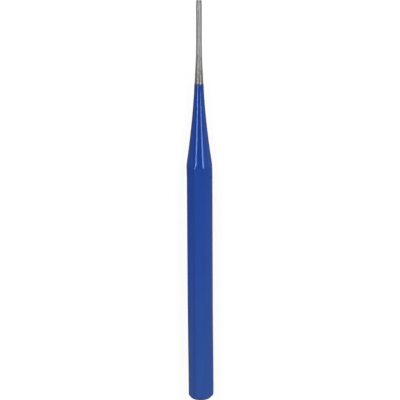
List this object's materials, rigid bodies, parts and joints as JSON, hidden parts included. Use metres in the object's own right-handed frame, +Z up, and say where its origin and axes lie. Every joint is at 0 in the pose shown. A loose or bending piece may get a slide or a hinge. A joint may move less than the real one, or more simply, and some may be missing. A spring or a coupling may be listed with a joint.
{
  "type": "pin punch",
  "caption": "Slim pin punch: a bare parallel steel pin and hollow-ground taper on a lacquered octagonal shank with a crowned striking head, for driving pins out of their holes.",
  "frame": {"origin": "under the middle of the tool's length, on the plane of the flat it lies on", "axes": "+Y along the axis from the head to the tip of the pin, +Z up out of the flat it lies on, +X to the side flat on the right when the tip points away"},
  "size_m": [0.0094, 0.15, 0.0094],
  "materials": {
    "ground_steel": "fine ground, thinly oiled, with faint turned marks",
    "blue_lacquer": "smooth glossy dipped lacquer with softly rounded edges"
  },
  "bodies": {
    "root": {"steel_punch": "ground_steel", "blue_coating": "blue_lacquer"}
  },
  "joints": []
}
